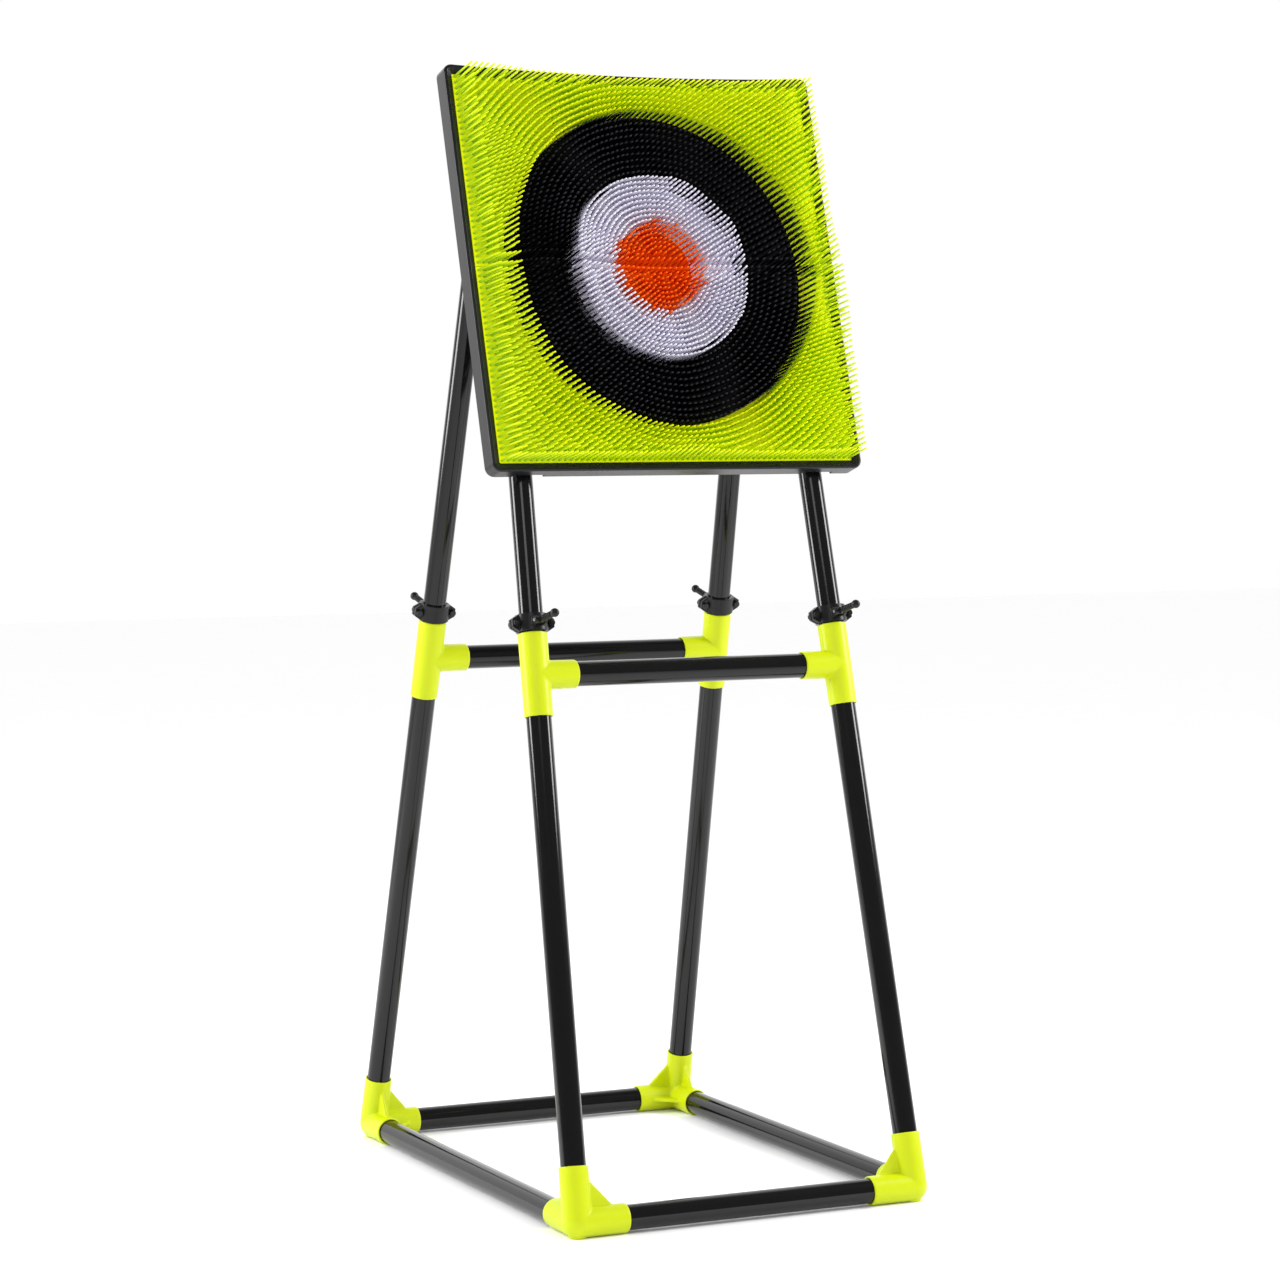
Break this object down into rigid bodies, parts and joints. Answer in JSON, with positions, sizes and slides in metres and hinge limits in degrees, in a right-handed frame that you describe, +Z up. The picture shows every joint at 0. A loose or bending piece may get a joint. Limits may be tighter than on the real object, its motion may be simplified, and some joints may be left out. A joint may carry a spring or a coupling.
{
  "type": "bristle throwing target on stand",
  "caption": "Square bristle target with coloured rings, tilting on four telescopic legs with lever clamps, on a rectangular tube base with plug-in connectors.",
  "frame": {"origin": "on the floor under the middle of the base", "axes": "+X to the target's right as its front is faced, -Y the way the target faces, +Z up"},
  "size_m": [0.496, 0.6808, 1.3706],
  "materials": {
    "lime_plastic": "moulded lime-yellow plastic with a low sheen",
    "black_tube": "gloss black coating on thin steel tube",
    "black_plastic": "moulded black nylon",
    "black_steel": "black oxide",
    "bright_steel": "plain zinc-plated steel",
    "tray_plastic": "satin black plastic",
    "board_plastic": "lime plastic board",
    "bristle_lime": "soft plastic bristles",
    "bristle_black": "soft plastic bristles",
    "bristle_white": "soft plastic bristles",
    "bristle_orange": "soft plastic bristles"
  },
  "bodies": {
    "stand": {"corner_front_left": "lime_plastic", "corner_front_right": "lime_plastic", "corner_rear_left": "lime_plastic", "corner_rear_right": "lime_plastic", "base_tube_front": "black_tube", "base_tube_rear": "black_tube", "base_tube_left": "black_tube", "base_tube_right": "black_tube", "leg_tube_front_left": "black_tube", "leg_tube_front_right": "black_tube", "leg_tube_rear_left": "black_tube", "leg_tube_rear_right": "black_tube", "tee_front_left": "lime_plastic", "tee_front_right": "lime_plastic", "tee_rear_left": "lime_plastic", "tee_rear_right": "lime_plastic", "crossbar_front": "black_tube", "crossbar_rear": "black_tube", "clamp_shell_front_left": "black_plastic", "clamp_shell_front_right": "black_plastic", "clamp_shell_rear_left": "black_plastic", "clamp_shell_rear_right": "black_plastic", "clamp_backs": "black_plastic", "clamp_bolts": "black_steel", "clamp_nuts": "black_steel", "lever_pins": "bright_steel"},
    "target": {"target_tray": "tray_plastic", "back_panel": "tray_plastic", "lower_bracket_left": "tray_plastic", "lower_bracket_right": "tray_plastic", "upper_bracket_left": "tray_plastic", "upper_bracket_right": "tray_plastic", "upper_pivot_pins": "bright_steel", "bracket_screws": "bright_steel", "bristle_board_upper": "board_plastic", "bristle_board_lower": "board_plastic", "bristles_lime_upper": "bristle_lime", "bristles_lime_lower": "bristle_lime", "bristles_black_upper": "bristle_black", "bristles_black_lower": "bristle_black", "bristles_white_upper": "bristle_white", "bristles_white_lower": "bristle_white", "bristles_orange_upper": "bristle_orange", "bristles_orange_lower": "bristle_orange"},
    "axle": {"pivot_axle": "bright_steel", "axle_nuts": "black_steel"},
    "tube_front_left": {"upper_tube_front_left": "black_tube", "tube_eye_front_left": "black_plastic"},
    "lever_front_left": {"clamp_lever_front_left": "black_plastic"},
    "tube_front_right": {"upper_tube_front_right": "black_tube", "tube_eye_front_right": "black_plastic"},
    "lever_front_right": {"clamp_lever_front_right": "black_plastic"},
    "tube_rear_left": {"upper_tube_rear_left": "black_tube", "tube_eye_rear_left": "black_plastic"},
    "lever_rear_left": {"clamp_lever_rear_left": "black_plastic"},
    "tube_rear_right": {"upper_tube_rear_right": "black_tube", "tube_eye_rear_right": "black_plastic"},
    "lever_rear_right": {"clamp_lever_rear_right": "black_plastic"}
  },
  "joints": [
    {"name": "height", "type": "slide", "parent": "stand", "child": "axle", "axis": [0, 0.2419, 0.9703], "range_m": [-0.07, 0.07]},
    {"name": "target_tilt", "type": "hinge", "parent": "axle", "child": "target", "pos_m": [0, -0.0986, 0.91754], "axis": [1, 0, 0], "range_deg": [-6.5, 6.5]},
    {"name": "slide_front_left", "type": "slide", "parent": "stand", "child": "tube_front_left", "axis": [0.0296, 0.2418, 0.9699], "range_m": [-0.07053, 0.07053]},
    {"name": "lever_turn_front_left", "type": "hinge", "parent": "stand", "child": "lever_front_left", "pos_m": [-0.20098, -0.17721, 0.70556], "axis": [-0.9995, 0, 0.0305], "range_deg": [0, 75]},
    {"name": "slide_front_right", "type": "slide", "parent": "stand", "child": "tube_front_right", "axis": [-0.0296, 0.2418, 0.9699], "range_m": [-0.07053, 0.07053]},
    {"name": "lever_turn_front_right", "type": "hinge", "parent": "stand", "child": "lever_front_right", "pos_m": [0.20098, -0.17721, 0.70556], "axis": [-0.9995, 0, -0.0305], "range_deg": [0, 75]},
    {"name": "slide_rear_left", "type": "slide", "parent": "stand", "child": "tube_rear_left", "axis": [0.0296, -0.2418, 0.9699], "range_m": [-0.08383, 0.08383]},
    {"name": "lever_turn_rear_left", "type": "hinge", "parent": "stand", "child": "lever_rear_left", "pos_m": [-0.20098, 0.17721, 0.70556], "axis": [0.9995, 0, -0.0305], "range_deg": [0, 75]},
    {"name": "slide_rear_right", "type": "slide", "parent": "stand", "child": "tube_rear_right", "axis": [-0.0296, -0.2418, 0.9699], "range_m": [-0.08383, 0.08383]},
    {"name": "lever_turn_rear_right", "type": "hinge", "parent": "stand", "child": "lever_rear_right", "pos_m": [0.20098, 0.17721, 0.70556], "axis": [0.9995, 0, 0.0305], "range_deg": [0, 75]}
  ],
  "couplings": [
    {"joint": "target_tilt", "follows": "height", "rad_per_m": 1.607},
    {"joint": "slide_front_left", "follows": "height", "ratio": 1.0004},
    {"joint": "slide_front_right", "follows": "height", "ratio": 1.0004},
    {"joint": "slide_rear_left", "follows": "height", "ratio": 1.1904},
    {"joint": "slide_rear_right", "follows": "height", "ratio": 1.1904}
  ]
}
